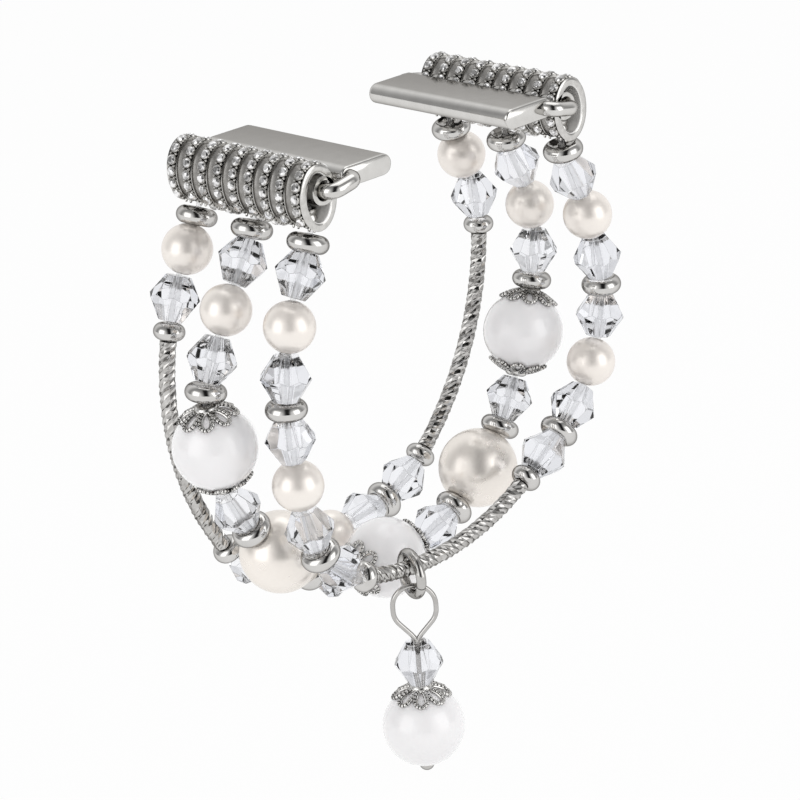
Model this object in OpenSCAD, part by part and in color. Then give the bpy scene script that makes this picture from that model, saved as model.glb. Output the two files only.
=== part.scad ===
// Beaded watch band: three elastic strands of beads hung between two stone-set bails, each bail
// hinged on the bow of a lug slider, and a charm hanging from the near strand.
// X runs from the left bail to the right one, Y away from the viewer and Z up. The origin is
// the middle of the watch seat, halfway between the two lug sliders. Millimetres.

/* [Band] */
// Distance between neighbouring strands
strand_pitch = 11; // [10:0.1:12]
// Height of the sliders above the line that the strands hang from
hang_drop = 6.3; // [6:0.1:7.5]
// Least gap between two beads
bead_gap = 0.12; // [0.06:0.02:0.3]
// Gap between a bail and the joint of the cord below it
hang_gap = 0.3; // [0.2:0.05:0.6]

/* [Strand shapes] */
// Lean of the far strand, as [share of its length, degrees from level], with 90 straight up
far_lean = [[0, -103], [0.017, -103], [0.018, -116], [0.13, -94], [0.25, -74], [0.36, -50], [0.45, 5],
            [0.55, 8], [0.64, 40], [0.87, 78], [0.982, 115], [0.983, 94], [1, 94]]; // [-150:1:150]
// Lean of the middle strand
mid_lean = [[0, -124], [0.017, -124], [0.018, -142], [0.12, -135], [0.25, -76], [0.38, -45], [0.5, 0],
            [0.62, 40], [0.75, 77], [0.85, 85], [0.92, 114], [0.982, 142], [0.983, 115],
            [1, 115]]; // [-150:1:150]
// Lean of the near strand
near_lean = [[0, -111], [0.017, -111], [0.018, -124], [0.08, -107], [0.18, -89], [0.3, -74], [0.38, -18],
             [0.42, -10], [0.58, 25], [0.7, 39], [0.85, 95], [0.982, 120], [0.983, 100],
             [1, 100]]; // [-150:1:150]

/* [Round beads] */
// Diameter of a small pearl
pearl_d = 7; // [6:0.1:7.6]
// Diameter of a big pearl
big_pearl_d = 11.5; // [10:0.1:12]
// Diameter of a cat's-eye ball
ball_d = 11.6; // [10:0.1:12]
// Hole through every bead
bead_bore = 1.2; // [1:0.05:1.4]

/* [Crystals] */
// Diameter of a crystal across the corners of its waist
crystal_d = 7; // [6:0.1:8]
// Length of a crystal
crystal_len = 6.2; // [5:0.1:8]
// Diameter of a crystal's flat end across its corners
crystal_end_d = 3.3; // [2.4:0.1:3.4]
// Turn from one crystal to the next about the cord
crystal_twist = 13; // [0:1:45]

/* [Spacers] */
// Outer diameter of a spacer ring
spacer_d = 5.7; // [5:0.1:6.5]
// Thickness of a spacer ring
spacer_len = 2.5; // [2.3:0.1:2.8]
// Diameter of the dish in each face of a spacer
spacer_dish_d = 4; // [3.8:0.1:4.2]
// Depth of that dish
spacer_dish = 0.5; // [0.4:0.05:0.6]
// How far the bead beside a spacer sits in its dish
nest = 0.36; // [0.2:0.05:0.4]
// Outer diameter of a small spacer ring
small_spacer_d = 4.4; // [3.8:0.1:5]
// Thickness of a small spacer ring
small_spacer_len = 2.4; // [1.8:0.1:3]

/* [Bead caps] */
// Wall of a bead cap
cap_wall = 0.5; // [0.4:0.05:0.8]
// Play between a cap and its ball
cap_play = 0.05; // [0.02:0.01:0.1]
// Thickness of the cap's collar beyond its dome
cap_collar = 0.2; // [0.1:0.05:0.4]
// Diameter of the cap's collar
cap_collar_d = 3; // [2.4:0.1:3.6]
// Middle of a petal, degrees from the pole of the ball
petal_angle = 33; // [30:1:36]
// How far neighbouring petals run into each other
petal_lap = 0.3; // [0.2:0.05:0.5]
// Petals of a cap
cap_petals = 8; // [7:1:9]
// Width of the window in each petal, across its corners
petal_window = 1.6; // [1:0.1:1.8]

/* [Curved tubes] */
// Outer diameter of a tube
tube_d = 2.35; // [2:0.05:2.8]
// Bore of a tube
tube_bore = 1.3; // [1.1:0.05:1.5]
// Length of each tube on the far strand
far_tube_len = 33.2; // [28:0.2:38]
// Length of the tube on the near strand
near_tube_len = 31; // [26:0.2:34]

/* [Cord] */
// Diameter of the elastic cord
cord_d = 0.8; // [0.6:0.05:0.9]
// Radial swell of the cord where it bends between beads
cord_swell = 0.05; // [0.03:0.01:0.08]
// Outer diameter of a crimp
crimp_d = 2.2; // [1.8:0.1:2.4]
// Length of a crimp
crimp_len = 1.6; // [1.2:0.1:2]
// End of the cord beyond its crimp
cord_tail = 0.3; // [0.2:0.1:0.4]
// Play between cord and crimp, and cord and bail
crimp_play = 0.02; // [0.01:0.01:0.05]

/* [Bails] */
// Length of a bail
bail_len = 26.5; // [25:0.5:30]
// Width of a bail across its ribs
bail_w = 6.4; // [6:0.1:7.5]
// Height of a bail across its ribs
bail_h = 9; // [8.6:0.1:10]
// Height of a rib above the channel beside it
rib_rise = 0.45; // [0.3:0.05:0.6]
// Wall of a bail under its channels
bail_wall = 0.7; // [0.6:0.05:0.9]
// Rows of stones on a bail
stone_rows = 9; // [7:1:9]
// Distance between rows
row_pitch = 3.05; // [2.9:0.05:3.05]
// Width of a rib
rib_w = 1.7; // [1.5:0.1:2]
// Stones around a row, where none is left out
stones_round = 15; // [13:2:15]
// Hole for a cord in the bail's floor
cord_hole = 1.2; // [1:0.05:1.4]

/* [Rhinestones] */
// Diameter of a stone
stone_d = 1.3; // [1:0.05:1.4]
// Height of a stone's straight girdle
stone_girdle = 0.2; // [0.1:0.05:0.3]
// Height of a stone's crown
stone_crown = 0.3; // [0.2:0.05:0.4]
// Diameter of a stone's flat table
stone_table = 0.75; // [0.5:0.05:0.9]

/* [Hinges] */
// Diameter of the bow's wire
bow_d = 2.1; // [1.8:0.05:2.2]
// Radial clearance of the bow in a bail's barrel
hinge_play = 0.08; // [0.04:0.01:0.1]
// Wall of the barrel
barrel_wall = 0.87; // [0.6:0.01:0.9]
// Height of the barrel's axis above the bail's centre
barrel_rise = 0.7; // [0.5:0.05:0.9]
// How far the barrel's axis lies from the bail's middle towards the watch
barrel_in = 1.05; // [0.8:0.05:1.1]
// Bend radius of the bow at its corners
bow_bend = 1.3; // [1.2:0.05:1.5]
// Gap between an end of the bail and the bow's bend
bow_gap = 0.3; // [0.2:0.05:0.6]

/* [Lug sliders] */
// Width of a slider
slider_w = 9.1; // [7:0.1:9.6]
// Thickness of a slider
slider_t = 2.9; // [2.8:0.1:3.2]
// How far each end of a slider runs past its bail
slider_past = 0.25; // [0:0.05:0.5]
// Distance between the two sliders' outer edges
slider_span = 40; // [36:0.2:44]
// Gap between a slider's outer edge and the tips of the bail's stones
slider_gap = 0.45; // [0.4:0.05:0.9]
// Distance from a slider's outer edge to the bow's sockets
socket_in = 1.4; // [1.4:0.1:2]
// Depth of a socket
socket_depth = 2; // [1.5:0.1:3]

/* [Charm] */
// Place of the jump ring along the near tube, as a share of its length
charm_place = 0.25; // [0.2:0.05:0.8]
// Inside diameter of the jump ring
ring_in_d = 4.5; // [4.2:0.1:5]
// Wire of the jump ring
ring_wire = 1.4; // [1:0.1:1.5]
// Turn of the jump ring about the vertical
ring_turn = -18; // [-25:1:10]
// Gap where the ring hangs on the tube and the pin on the ring
charm_gap = 0.12; // [0.05:0.01:0.2]
// Wire of the eye pin
pin_wire = 0.7; // [0.6:0.05:0.9]
// Outside width of the eye
eye_w = 6.7; // [5.5:0.1:7]
// Straight part of the eye's sides
eye_side = 0.7; // [0:0.1:1.5]
// Drop from the middle of the eye's lower curve to where its legs meet
eye_drop = 4.3; // [4:0.1:5]
// Thickness of the wire where it is bent into a leg
eye_bend_d = 0.8; // [0.75:0.05:0.9]
// Diameter of the wire's twist where the legs meet
eye_knot_d = 1; // [0.8:0.05:1.1]
// Turn of the eye about the vertical
eye_turn = -42; // [-60:1:-20]
// Diameter of the pin's head
pin_head_d = 2.2; // [1.8:0.1:2.6]
// Gap between two pieces on the pin
pin_gap = 0.1; // [0.05:0.01:0.2]

/* [Hidden] */
$fn = 64;
SIDES = 8;                                  // facets round a crystal
SOLVE_STEPS = 26;                           // halvings that close a strand on the second bail
over = 1;                                   // how far a cut runs past the face that it opens

// A slider lines up with its bail, and the bails stand just clear of the sliders
slider_len = bail_len + 2 * slider_past;
bail_span = slider_span + 2 * (slider_gap + stone_crown + bail_w / 2);

// ---- strands: what is on each, from its left end to its middle, then mirrored
function mirrored(half, middle) = concat(half, [middle], [for (i = [len(half) - 1 : -1 : 0]) half[i]]);
far_beads = mirrored(["spacer", "pearl", "crystal", "small_spacer", "tube", "small_spacer",
                      "crystal", "spacer", "crystal"], "pearl");
mid_beads = mirrored(["spacer", "crystal", "pearl", "crystal", "spacer", "capped_ball", "crystal",
                      "spacer", "big_pearl", "spacer", "crystal"], "capped_ball");
near_beads = mirrored(["spacer", "crystal", "pearl", "crystal", "spacer", "crystal", "pearl",
                       "crystal", "spacer", "crystal", "small_spacer"], "tube");

cap_t = cap_play + cap_wall + cap_collar;   // how far a cap stands out from its ball

// Length of a bead along the cord, the radius of its flat end, and the rounding of its edge
function bead_len(type, tube_len) =
    type == "pearl" ? pearl_d : type == "big_pearl" ? big_pearl_d :
    type == "capped_ball" ? ball_d + 2 * cap_t : type == "crystal" ? crystal_len :
    type == "spacer" ? spacer_len : type == "small_spacer" ? small_spacer_len : tube_len;
function end_flat(type) =
    type == "crystal" ? crystal_end_d / 2 : type == "capped_ball" ? cap_collar_d / 2 :
    type == "spacer" ? (spacer_d - spacer_len) / 2 :
    type == "small_spacer" ? (small_spacer_d - small_spacer_len) / 2 : type == "tube" ? tube_d / 2 : 0;
function edge_round(type) =
    type == "pearl" ? pearl_d / 2 : type == "big_pearl" ? big_pearl_d / 2 :
    type == "spacer" ? spacer_len / 2 : type == "small_spacer" ? small_spacer_len / 2 : 0;

// Room that a bead needs beyond its end, where the cord bends by 2 * a beside another bead
function nests(type, other) = (type == "spacer" || other == "spacer") && other != "bail" ? nest / 2 : 0;
function setback(type, other, a) = bead_gap / 2 + end_flat(type) * tan(a)
    + edge_round(type) * (1 / cos(a) - 1) - nests(type, other);

function heading(a) = [cos(a), sin(a)];
function arc_radius(length, turn) = length * 180 / (PI * turn);
// Step from one end of a bead to the other: straight, or along an arc from heading a0 to a1
function chord(length, a0, a1) = abs(a1 - a0) < 0.5 ? length * heading(a0) :
    arc_radius(length, a1 - a0) * [sin(a1) - sin(a0), cos(a0) - cos(a1)];

function running(v) = [for (i = 0, s = 0; i <= len(v); s = s + (i < len(v) ? v[i] : 0), i = i + 1) s];

// Walks along a strand. One entry per bead: [type, joint before, entry, a0, exit, a1, joint after]
function walk(beads, lean, tube_len, belly, turn = 0, start = [0, 0]) =
    let (ls = [for (b = beads) bead_len(b, tube_len)],
         at = running(ls), all = at[len(ls)],
         a = [for (i = [0 : len(ls) - 1]) beads[i] == "tube"
              ? [turn + belly * lookup(at[i] / all, lean), turn + belly * lookup(at[i + 1] / all, lean)]
              : let (m = turn + belly * lookup((at[i] + at[i + 1]) / 2 / all, lean)) [m, m]],
         n = len(ls),
         before = [for (i = [0 : n - 1]) abs(a[i][0] - (i == 0 ? -90 : a[i - 1][1])) / 2],
         after = [for (i = [0 : n - 1]) abs(a[i][1] - (i == n - 1 ? 90 : a[i + 1][0])) / 2],
         step = [for (i = [0 : n - 1])
              [setback(beads[i], i == 0 ? "bail" : beads[i - 1], before[i]) * heading(a[i][0]),
               chord(ls[i], a[i][0], a[i][1]),
               setback(beads[i], i == n - 1 ? "bail" : beads[i + 1], after[i]) * heading(a[i][1])]],
         joint = [for (i = 0, p = start; i <= n;
                       p = p + (i < n ? step[i][0] + step[i][1] + step[i][2] : [0, 0]), i = i + 1) p])
    [for (i = [0 : n - 1]) [beads[i], joint[i], joint[i] + step[i][0], a[i][0],
                            joint[i + 1] - step[i][2], a[i][1], joint[i + 1]]];

function last_joint(s) = s[len(s) - 1][6];
// The belly of a strand is the one that spans the two bails
function belly(beads, lean, tube_len, lo = 0.6, hi = 1.5, n = SOLVE_STEPS) =
    let (m = (lo + hi) / 2) n == 0 ? m :
    norm(last_joint(walk(beads, lean, tube_len, m))) > bail_span
        ? belly(beads, lean, tube_len, m, hi, n - 1) : belly(beads, lean, tube_len, lo, m, n - 1);
function hang(beads, lean, tube_len) =
    let (k = belly(beads, lean, tube_len), e = last_joint(walk(beads, lean, tube_len, k)))
    walk(beads, lean, tube_len, k, -atan2(e.y, e.x), [-bail_span / 2, -hang_drop]);

far = hang(far_beads, far_lean, far_tube_len);
mid = hang(mid_beads, mid_lean, far_tube_len);
near = hang(near_beads, near_lean, near_tube_len);
STRANDS = [[far, strand_pitch], [mid, 0], [near, -strand_pitch]];

// ---- bails, hinges and sliders
bail_z = -hang_drop + hang_gap + bail_h / 2;
barrel_z = bail_z + barrel_rise;
barrel_x = bail_span / 2 - barrel_in;
barrel_r = bow_d / 2 + hinge_play + barrel_wall;
channel_a = bail_w / 2 - rib_rise;
channel_b = bail_h / 2 - rib_rise;
crimp_seat_z = bail_z - channel_b + bail_wall;
slider_x = (slider_span - slider_w) / 2;
socket_x = slider_span / 2 - socket_in;
bow_reach = norm([barrel_x - socket_x, barrel_z]);
bow_lift = atan2(-barrel_z, barrel_x - socket_x);
bow_out = bail_len / 2 + bow_gap + bow_bend;    // from the bail's middle to an arm of the bow
bow_tip = bow_out - bow_bend - slider_len / 2 + socket_depth;

// Corners of an oval, spaced evenly along its edge. Corner 0 is half a step before the bottom
function oval(a, b, n) = let (e = (b - a) / (b + a) * 90 / PI)
    [for (i = [0 : n - 1]) let (p = -90 + (i - 0.5) * 360 / n, t = p - e * sin(2 * p))
        [a * cos(t), b * sin(t)]];
stone_seats = let (v = oval(bail_w / 2, bail_h / 2, stones_round), n = stones_round)
    [for (i = [0 : n - 1]) let (p = v[i], q = v[(i + 1) % n]) [(p + q) / 2, atan2(p.x - q.x, q.y - p.y)]];
// A row leaves out its lowest stones where a spacer hangs under it
function bare(i, y) = (i <= 1 || i == stones_round - 1)
    && min([for (s = STRANDS) abs(y - s[1])]) < spacer_d / 2;

// ---- charm
near_tube = near[(len(near) - 1) / 2];
tube_r = tube_d / 2;
function on_tube(s, share, tube_len) = let (a = s[3] + share * (s[5] - s[3]))
    [s[2] + chord(share * tube_len, s[3], a), a];
charm_at = on_tube(near_tube, charm_place, near_tube_len);
ring_r = (ring_in_d + ring_wire) / 2;
ring_z = charm_at[0].y + tube_r + charm_gap - ring_in_d / 2;
eye_r = (eye_w - pin_wire) / 2;
eye_z = ring_z - ring_in_d / 2 + charm_gap + pin_wire / 2 - eye_r;
legs_z = eye_z - eye_side - eye_drop;
leg_angle = acos(eye_r / eye_drop);             // from straight down to where a leg leaves the eye
charm_crystal_z = legs_z - eye_knot_d / 2 - pin_gap - crystal_len / 2;
charm_ball_z = charm_crystal_z - crystal_len / 2 - pin_gap - cap_t - ball_d / 2;
pin_head_z = charm_ball_z - ball_d / 2 - pin_gap;

// ---- beads, each along its own Z axis and centred
module bored(length) { difference() { children(); cylinder(h = length + 2 * over, d = bead_bore, center = true); } }
module pearl(d) { bored(d) sphere(d = d); }
// Two cones of facets with flat ends, cut out of crossed prisms
module crystal() {
    waist = crystal_d / 2 * cos(180 / SIDES);
    end = crystal_end_d / 2 * cos(180 / SIDES);
    h = crystal_len / 2;
    bored(crystal_len) intersection_for (i = [0 : SIDES / 2 - 1])
        rotate([90, 0, i * 360 / SIDES]) linear_extrude(crystal_d + 1, center = true)
            polygon([[end, -h], [waist, 0], [end, h], [-end, h], [-waist, 0], [-end, -h]]);
}
// A ring with a rounded edge, and in each face a dish that the next bead sits in
module spacer(d, length, dish_d) {
    core = (d - length) / 2;
    difference() {
        rotate_extrude() intersection() {
            union() {
                translate([core, 0]) circle(d = length);
                translate([0, -length / 2]) square([core, length]);
            }
            translate([bead_bore / 2, -length]) square([d, 2 * length]);
        }
        for (s = [0, 180]) rotate([s, 0, 0]) translate([0, 0, length / 2 - spacer_dish])
            cylinder(h = spacer_dish + 1, d = dish_d);
    }
}
// A bead cap over the +Z pole of a ball at the origin: a ring of petals, each with a window
module bead_cap() {
    inner = ball_d / 2 + cap_play;
    outer = inner + cap_wall;
    petal_w = 2 * inner * sin(petal_angle) * sin(180 / cap_petals) + petal_lap;
    difference() {
        intersection() {
            rotate_extrude() difference() {
                intersection() {
                    union() {
                        circle(r = outer);
                        translate([0, inner / 2]) square([cap_collar_d / 2, outer + cap_collar - inner / 2]);
                    }
                    translate([bead_bore / 2, inner / 2]) square(outer);
                }
                circle(r = inner);
            }
            union() {
                cylinder(h = 2 * outer, r = inner * sin(petal_angle));
                for (i = [0 : cap_petals - 1]) rotate([0, petal_angle, i * 360 / cap_petals])
                    translate([0, 0, inner * 0.8]) cylinder(h = outer * 0.4, d = petal_w);
            }
        }
        for (i = [0 : cap_petals - 1]) rotate([0, petal_angle, i * 360 / cap_petals])
            translate([0, 0, inner * 0.8]) cylinder(h = outer * 0.4, d = petal_window, $fn = 8);
    }
}
// A rod, or a tube, along an arc of the strand's plane from heading a0 to a1
module arc_rod(entry, a0, a1, length, d) {
    if (abs(a1 - a0) < 0.5)
        translate([entry.x, 0, entry.y]) rotate([0, 90 - a0, 0]) cylinder(h = length, d = d);
    else {
        r = arc_radius(length, a1 - a0);
        translate([entry.x - r * sin(a0), 0, entry.y + r * cos(a0)])
            rotate([90, 0, 0]) rotate([0, 0, a0 - 90])
                rotate_extrude(angle = a1 - a0) translate([r, 0]) circle(d = d);
    }
}
module curved_tube(s, y, tube_len) {
    past = over * (s[5] - s[3]) / tube_len;     // how far the bore's cut turns past each end
    translate([0, y, 0]) difference() {
        arc_rod(s[2], s[3], s[5], tube_len, tube_d);
        arc_rod(s[2] - chord(over, s[3] - past, s[3]), s[3] - past, s[5] + past, tube_len + 2 * over, tube_bore);
    }
}
// Puts its children at the middle of a straight bead, with +Z along the cord
module threaded(s, y) {
    m = (s[2] + s[4]) / 2;
    translate([m.x, y, m.y]) rotate([0, 90 - s[3], 0]) children();
}
// Every bead of one type on a strand, or only the nth one, counted from 0 at the left
module beads_of(strand, type, n = undef) {
    picked = [for (s = strand[0]) if (s[0] == type) s];
    if (len(picked) > 0) for (i = [0 : len(picked) - 1]) if (is_undef(n) || n == i)
        threaded(picked[i], strand[1])
            rotate([0, 0, type == "crystal" ? i * crystal_twist : 0]) children();
}
module rod(p, q, d) {
    v = q - p;
    translate([p.x, 0, p.y]) rotate([0, 90 - atan2(v.y, v.x), 0]) cylinder(h = norm(v), d = d);
}
module cord(strand, tube_len) {
    s = strand[0];
    top = crimp_seat_z + crimp_len + cord_tail;
    translate([0, strand[1], 0]) {
        for (x = [-1, 1]) rod([x * bail_span / 2, -hang_drop], [x * bail_span / 2, top], cord_d);
        for (b = s) {
            translate([b[1].x, 0, b[1].y]) rotate([0, 90 - b[3], 0]) sphere(d = cord_d + 2 * cord_swell);
            before = norm(b[2] - b[1]);
            after = norm(b[6] - b[4]);
            bend = (b[5] - b[3]) / tube_len;
            if (b[0] == "tube")
                arc_rod(b[1], b[3] - before * bend, b[5] + after * bend, before + tube_len + after, cord_d);
            else rod(b[1], b[6], cord_d);
        }
        translate([last_joint(s).x, 0, last_joint(s).y]) sphere(d = cord_d + 2 * cord_swell);
    }
}

// ---- sub-parts
module elastic_cords() {
    color("white") for (s = STRANDS) cord(s, s[1] < 0 ? near_tube_len : far_tube_len);
}
module cord_crimps() {
    color("silver") for (x = [-1, 1], s = STRANDS) translate([x * bail_span / 2, s[1], crimp_seat_z])
        difference() {
            cylinder(h = crimp_len, d = crimp_d);
            translate([0, 0, -over]) cylinder(h = crimp_len + 2 * over, d = cord_d + 2 * crimp_play);
        }
}
module slab(outline, length) { rotate([90, 0, 0]) linear_extrude(length, center = true) polygon(outline); }
module bail(side) {
    row_y = [for (j = [0 : stone_rows - 1]) (j - (stone_rows - 1) / 2) * row_pitch];
    rib = oval(bail_w / 2, bail_h / 2, stones_round);
    end_rim = bail_len / 2 - row_y[stone_rows - 1] + rib_w / 2;
    color("silver") translate([side * bail_span / 2, 0, bail_z]) difference() {
        union() {
            difference() {
                union() {
                    slab(oval(channel_a, channel_b, 48), bail_len);
                    for (y = row_y) translate([0, y, 0]) slab(rib, rib_w);
                    for (s = [-1, 1]) translate([0, s * (bail_len - end_rim) / 2, 0]) slab(rib, end_rim);
                }
                slab(oval(channel_a - bail_wall, channel_b - bail_wall, 48), bail_len + 2 * over);
            }
            translate([-side * barrel_in, 0, barrel_rise]) rotate([90, 0, 0])
                cylinder(h = bail_len, r = barrel_r, center = true);
        }
        translate([-side * barrel_in, 0, barrel_rise]) rotate([90, 0, 0])
            cylinder(h = bail_len + 2 * over, r = bow_d / 2 + hinge_play, center = true);
        for (s = STRANDS) translate([0, s[1], -bail_h / 2 - over]) {
            cylinder(h = bail_h / 2, d = cord_hole);
            translate([0, 0, crimp_seat_z - bail_z + bail_h / 2 + over])
                cylinder(h = crimp_len, d = crimp_d + 2 * crimp_play);
        }
    }
}
module rhinestones(side) {
    color("white") translate([side * bail_span / 2, 0, bail_z])
        for (j = [0 : stone_rows - 1], i = [0 : stones_round - 1]) {
            y = (j - (stone_rows - 1) / 2) * row_pitch;
            seat = stone_seats[i];
            if (!bare(i, y)) translate([seat[0].x, y, seat[0].y]) rotate([0, 90 - seat[1], 0]) {
                cylinder(h = stone_girdle, d = stone_d);
                translate([0, 0, stone_girdle]) cylinder(h = stone_crown, d1 = stone_d, d2 = stone_table);
            }
        }
}
// The bow's pin runs through the barrel, and its two tips turn back into the slider's sockets
module hinge_bow(side) {
    bend = bow_bend;
    color("silver") translate([side * barrel_x, 0, barrel_z]) scale([-side, 1, 1])
        rotate([0, -bow_lift, 0]) {
            rotate([90, 0, 0]) cylinder(h = 2 * (bow_out - bend), d = bow_d, center = true);
            for (s = [-1, 1]) scale([1, s, 1]) {
                translate([bend, bow_out - bend, 0]) rotate([0, 0, 90])
                    rotate_extrude(angle = 90) translate([bend, 0]) circle(d = bow_d);
                translate([bend, bow_out, 0]) rotate([0, 90, 0]) cylinder(h = bow_reach - 2 * bend, d = bow_d);
                translate([bow_reach - bend, bow_out - bend, 0])
                    rotate_extrude(angle = 90) translate([bend, 0]) circle(d = bow_d);
                translate([bow_reach, bow_out - bend - bow_tip, 0]) rotate([-90, 0, 0])
                    cylinder(h = bow_tip, d = bow_d);
            }
        }
}
module lug_slider(side) {
    color("silver") difference() {
        translate([side * slider_x, 0, 0]) rotate([90, 0, 0]) linear_extrude(slider_len, center = true) {
            square([slider_w - slider_t, slider_t], center = true);
            for (s = [-1, 1]) translate([s * (slider_w - slider_t) / 2, 0]) circle(d = slider_t);
        }
        for (s = [-1, 1]) translate([side * socket_x, s * (slider_len / 2 - socket_depth), 0])
            rotate([-s * 90, 0, 0]) cylinder(h = socket_depth + 1, d = bow_d);
    }
}
module bead_caps() {
    color("silver") beads_of(STRANDS[1], "capped_ball") for (s = [0, 1]) rotate([s * 180, 0, 0]) bead_cap();
}
module spacers(strand) {
    color("silver") beads_of(strand, "spacer") spacer(spacer_d, spacer_len, spacer_dish_d);
    small_dish = small_spacer_d - small_spacer_len;
    color("silver") beads_of(strand, "small_spacer") spacer(small_spacer_d, small_spacer_len, small_dish);
}
module at_charm(z, turn) { translate([charm_at[0].x, -strand_pitch, z]) rotate([0, 0, turn]) children(); }
module jump_ring() {
    color("silver") at_charm(ring_z, ring_turn) rotate([0, 90, 0])
        rotate_extrude() translate([ring_r, 0]) circle(d = ring_wire);
}
module eye_pin() {
    leg = sqrt(eye_drop * eye_drop - eye_r * eye_r);
    color("silver") at_charm(eye_z, eye_turn) {
        rotate([90, 0, 0]) rotate_extrude(angle = 180) translate([eye_r, 0]) circle(d = pin_wire);
        for (s = [-1, 1]) scale([s, 1, 1]) translate([0, 0, -eye_side]) {
            translate([eye_r, 0, 0]) cylinder(h = eye_side, d = pin_wire);
            rotate([90, 0, 0]) rotate_extrude(angle = leg_angle - 90) translate([eye_r, 0]) circle(d = pin_wire);
            translate([eye_r * sin(leg_angle), 0, -eye_r * cos(leg_angle)]) sphere(d = eye_bend_d);
            translate([0, 0, -eye_drop]) rotate([0, 90 - leg_angle, 0]) cylinder(h = leg, d = pin_wire);
        }
        translate([0, 0, legs_z - eye_z]) sphere(d = eye_knot_d);
        translate([0, 0, pin_head_z - eye_z]) cylinder(h = legs_z - pin_head_z, d = pin_wire);
        translate([0, 0, pin_head_z - eye_z]) rotate_extrude() intersection() {
            circle(d = pin_head_d);
            translate([0, -pin_head_d]) square(pin_head_d);
        }
    }
}
module charm_crystal() { color("aliceblue") at_charm(charm_crystal_z, 0) crystal(); }
module charm_cap() { color("silver") at_charm(charm_ball_z, 0) bead_cap(); }
module charm_ball() { color("whitesmoke") at_charm(charm_ball_z, 0) pearl(ball_d); }
module crystals(strand, n) { color("aliceblue") beads_of(strand, "crystal", n) crystal(); }
module pearls(strand, n) { color("linen") beads_of(strand, "pearl", n) pearl(pearl_d); }
module big_pearls(n) { color("linen") beads_of(STRANDS[1], "big_pearl", n) pearl(big_pearl_d); }
module balls(n) { color("whitesmoke") beads_of(STRANDS[1], "capped_ball", n) pearl(ball_d); }
module tubes(strand, tube_len, n) {
    picked = [for (s = strand[0]) if (s[0] == "tube") s];
    color("silver") curved_tube(picked[n], strand[1], tube_len);
}

lug_slider(-1);  // lug_slider_left
lug_slider(1);  // lug_slider_right
hinge_bow(-1);  // hinge_bow_left
hinge_bow(1);  // hinge_bow_right
bail(-1);  // bail_left
bail(1);  // bail_right
rhinestones(-1);  // rhinestones_left
rhinestones(1);  // rhinestones_right
elastic_cords();
cord_crimps();
tubes(STRANDS[0], far_tube_len, 0);  // tube_far_left
tubes(STRANDS[0], far_tube_len, 1);  // tube_far_right
tubes(STRANDS[2], near_tube_len, 0);  // tube_near
spacers(STRANDS[0]);  // spacers_far
spacers(STRANDS[1]);  // spacers_mid
spacers(STRANDS[2]);  // spacers_near
bead_caps();
balls(0);  // cats_eye_left
balls(1);  // cats_eye_middle
balls(2);  // cats_eye_right
big_pearls(0);  // big_pearl_left
big_pearls(1);  // big_pearl_right
pearls(STRANDS[0], 0);  // pearl_far_1
pearls(STRANDS[0], 1);  // pearl_far_2
pearls(STRANDS[0], 2);  // pearl_far_3
pearls(STRANDS[1], 0);  // pearl_mid_1
pearls(STRANDS[1], 1);  // pearl_mid_2
pearls(STRANDS[2], 0);  // pearl_near_1
pearls(STRANDS[2], 1);  // pearl_near_2
pearls(STRANDS[2], 2);  // pearl_near_3
pearls(STRANDS[2], 3);  // pearl_near_4
crystals(STRANDS[0], 0);  // crystal_far_1
crystals(STRANDS[0], 1);  // crystal_far_2
crystals(STRANDS[0], 2);  // crystal_far_3
crystals(STRANDS[0], 3);  // crystal_far_4
crystals(STRANDS[0], 4);  // crystal_far_5
crystals(STRANDS[0], 5);  // crystal_far_6
crystals(STRANDS[1], 0);  // crystal_mid_1
crystals(STRANDS[1], 1);  // crystal_mid_2
crystals(STRANDS[1], 2);  // crystal_mid_3
crystals(STRANDS[1], 3);  // crystal_mid_4
crystals(STRANDS[1], 4);  // crystal_mid_5
crystals(STRANDS[1], 5);  // crystal_mid_6
crystals(STRANDS[1], 6);  // crystal_mid_7
crystals(STRANDS[1], 7);  // crystal_mid_8
crystals(STRANDS[2], 0);  // crystal_near_1
crystals(STRANDS[2], 1);  // crystal_near_2
crystals(STRANDS[2], 2);  // crystal_near_3
crystals(STRANDS[2], 3);  // crystal_near_4
crystals(STRANDS[2], 4);  // crystal_near_5
crystals(STRANDS[2], 5);  // crystal_near_6
crystals(STRANDS[2], 6);  // crystal_near_7
crystals(STRANDS[2], 7);  // crystal_near_8
crystals(STRANDS[2], 8);  // crystal_near_9
crystals(STRANDS[2], 9);  // crystal_near_10
jump_ring();
eye_pin();
charm_crystal();
charm_cap();
charm_ball();
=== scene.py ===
import math

import bmesh
import bpy
from mathutils import Matrix, Vector
from mathutils.geometry import points_in_planes


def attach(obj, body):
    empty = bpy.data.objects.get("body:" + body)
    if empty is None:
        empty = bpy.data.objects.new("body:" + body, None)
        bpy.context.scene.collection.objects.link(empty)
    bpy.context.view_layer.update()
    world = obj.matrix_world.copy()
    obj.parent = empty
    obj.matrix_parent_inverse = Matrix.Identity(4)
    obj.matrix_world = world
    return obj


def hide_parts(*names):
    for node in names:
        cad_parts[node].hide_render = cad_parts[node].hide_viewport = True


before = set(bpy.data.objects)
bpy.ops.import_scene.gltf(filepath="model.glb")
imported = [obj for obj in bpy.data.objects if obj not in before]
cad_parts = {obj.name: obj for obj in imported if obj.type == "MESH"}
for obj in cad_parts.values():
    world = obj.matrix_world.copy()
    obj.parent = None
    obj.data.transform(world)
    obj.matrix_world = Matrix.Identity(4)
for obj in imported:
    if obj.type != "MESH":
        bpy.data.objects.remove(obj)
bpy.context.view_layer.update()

# ---------------------------------------------------------------- sizes, in mm, as in the part's source
BAIL_SPAN, STRAND_PITCH, HANG_DROP, BEAD_GAP, HANG_GAP = 47.9, 11, 6.3, 0.12, 0.3
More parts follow.
